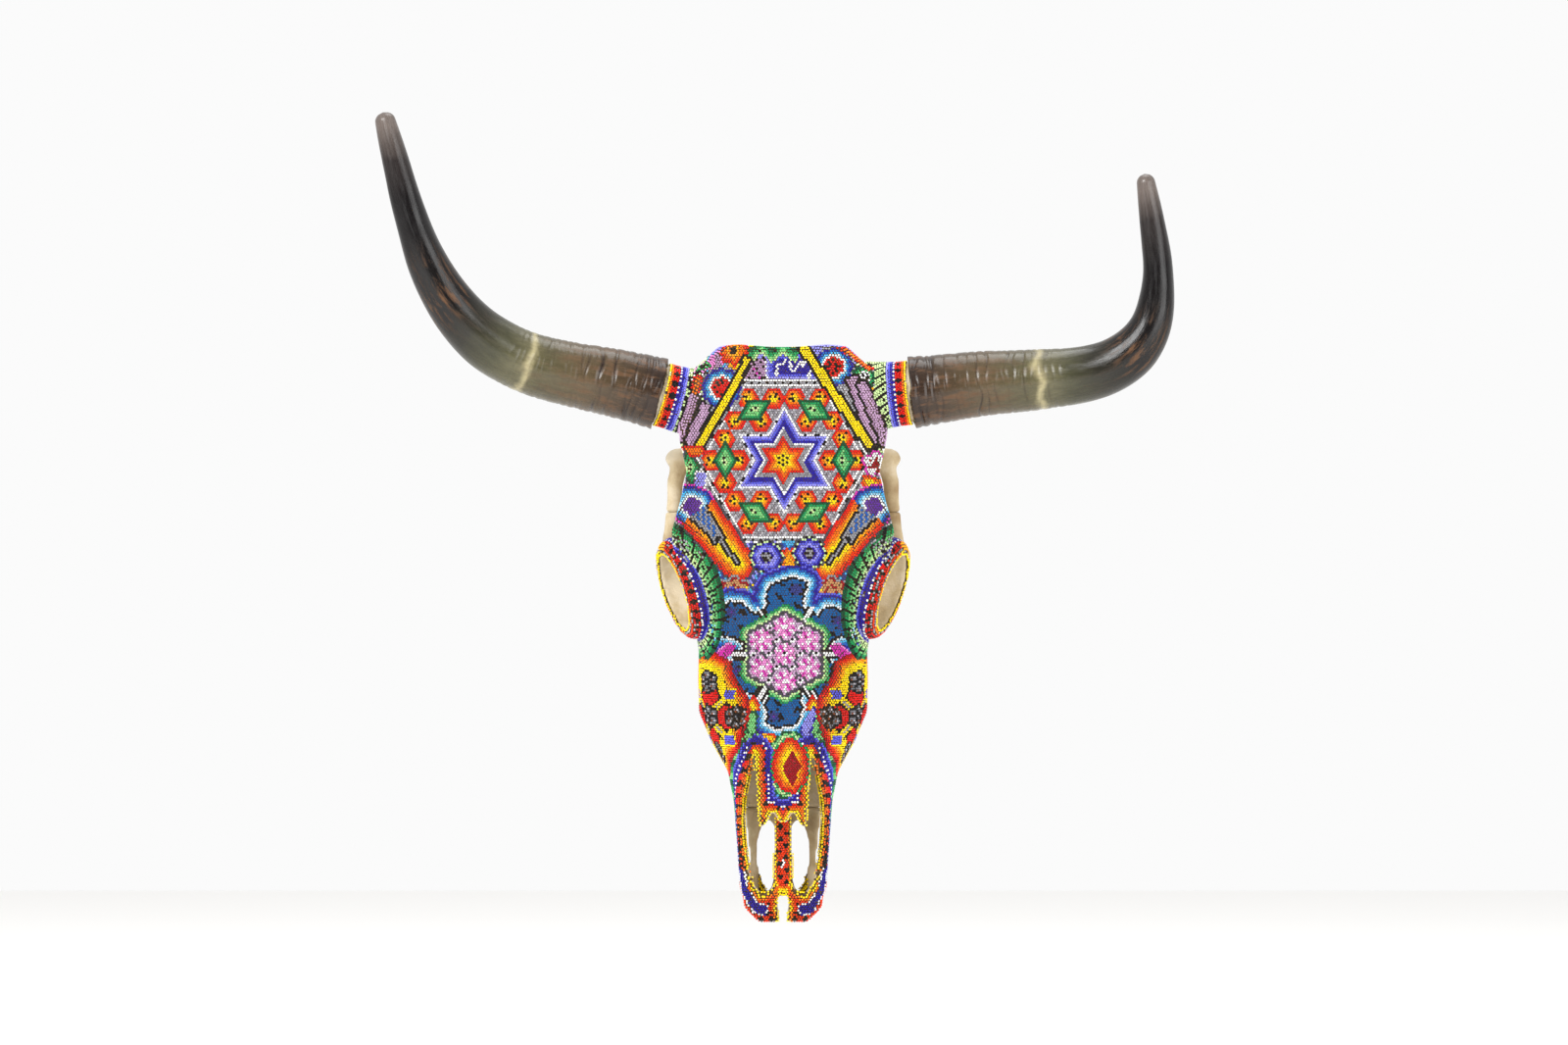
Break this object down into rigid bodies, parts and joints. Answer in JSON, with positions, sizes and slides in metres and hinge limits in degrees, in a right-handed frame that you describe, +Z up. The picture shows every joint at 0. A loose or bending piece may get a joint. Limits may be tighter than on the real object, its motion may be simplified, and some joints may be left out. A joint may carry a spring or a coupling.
{
  "type": "beaded cattle skull",
  "caption": "Horned cattle skull for hanging on a wall, its face covered in a bright pattern of glass seed beads set in wax, with horns that pull off their cores.",
  "frame": {"origin": "centre of the hanger plate's back face, on the wall, behind the brain case", "axes": "+Y into the wall, so the face looks along -Y; +Z up, from the muzzle to the top of the head; +X to the viewer's right"},
  "size_m": [0.6661, 0.1839, 0.6809],
  "materials": {
    "bone": "matte",
    "tooth": "satin",
    "horn": "satin",
    "wax": "satin",
    "beads": "gloss",
    "steel": "satin"
  },
  "bodies": {
    "skull": {"interparietal": "bone", "occipital": "bone", "sphenoid": "bone", "vomer": "bone", "frontal_left": "bone", "temporal_left": "bone", "lacrimal_left": "bone", "zygomatic_left": "bone", "nasal_left": "bone", "maxilla_left": "bone", "palatine_left": "bone", "premaxilla_left": "bone", "frontal_right": "bone", "temporal_right": "bone", "lacrimal_right": "bone", "zygomatic_right": "bone", "nasal_right": "bone", "maxilla_right": "bone", "palatine_right": "bone", "premaxilla_right": "bone", "premolar_2_left": "tooth", "premolar_3_left": "tooth", "premolar_4_left": "tooth", "molar_1_left": "tooth", "molar_2_left": "tooth", "molar_3_left": "tooth", "premolar_2_right": "tooth", "premolar_3_right": "tooth", "premolar_4_right": "tooth", "molar_1_right": "tooth", "molar_2_right": "tooth", "molar_3_right": "tooth", "wax_bed": "wax", "wax_nose_bar": "wax", "beads_poll": "beads", "beads_face": "beads", "beads_nose": "beads", "beads_nose_bar": "beads", "beads_forehead_left": "beads", "beads_horn_base_left": "beads", "beads_eye_ring_left": "beads", "beads_cheek_left": "beads", "beads_forehead_right": "beads", "beads_horn_base_right": "beads", "beads_eye_ring_right": "beads", "beads_cheek_right": "beads", "hanger_plate": "steel", "hanger_screw_left": "steel", "hanger_screw_right": "steel"},
    "horn_left": {"horn_sheath_left": "horn"},
    "horn_right": {"horn_sheath_right": "horn"}
  },
  "joints": [
    {"name": "horn_left_pull", "type": "slide", "parent": "skull", "child": "horn_left", "axis": [-0.9568, -0.1162, 0.2665], "range_m": [0, 0.16]},
    {"name": "horn_right_pull", "type": "slide", "parent": "skull", "child": "horn_right", "axis": [0.9907, -0.0983, 0.0945], "range_m": [0, 0.16]}
  ]
}
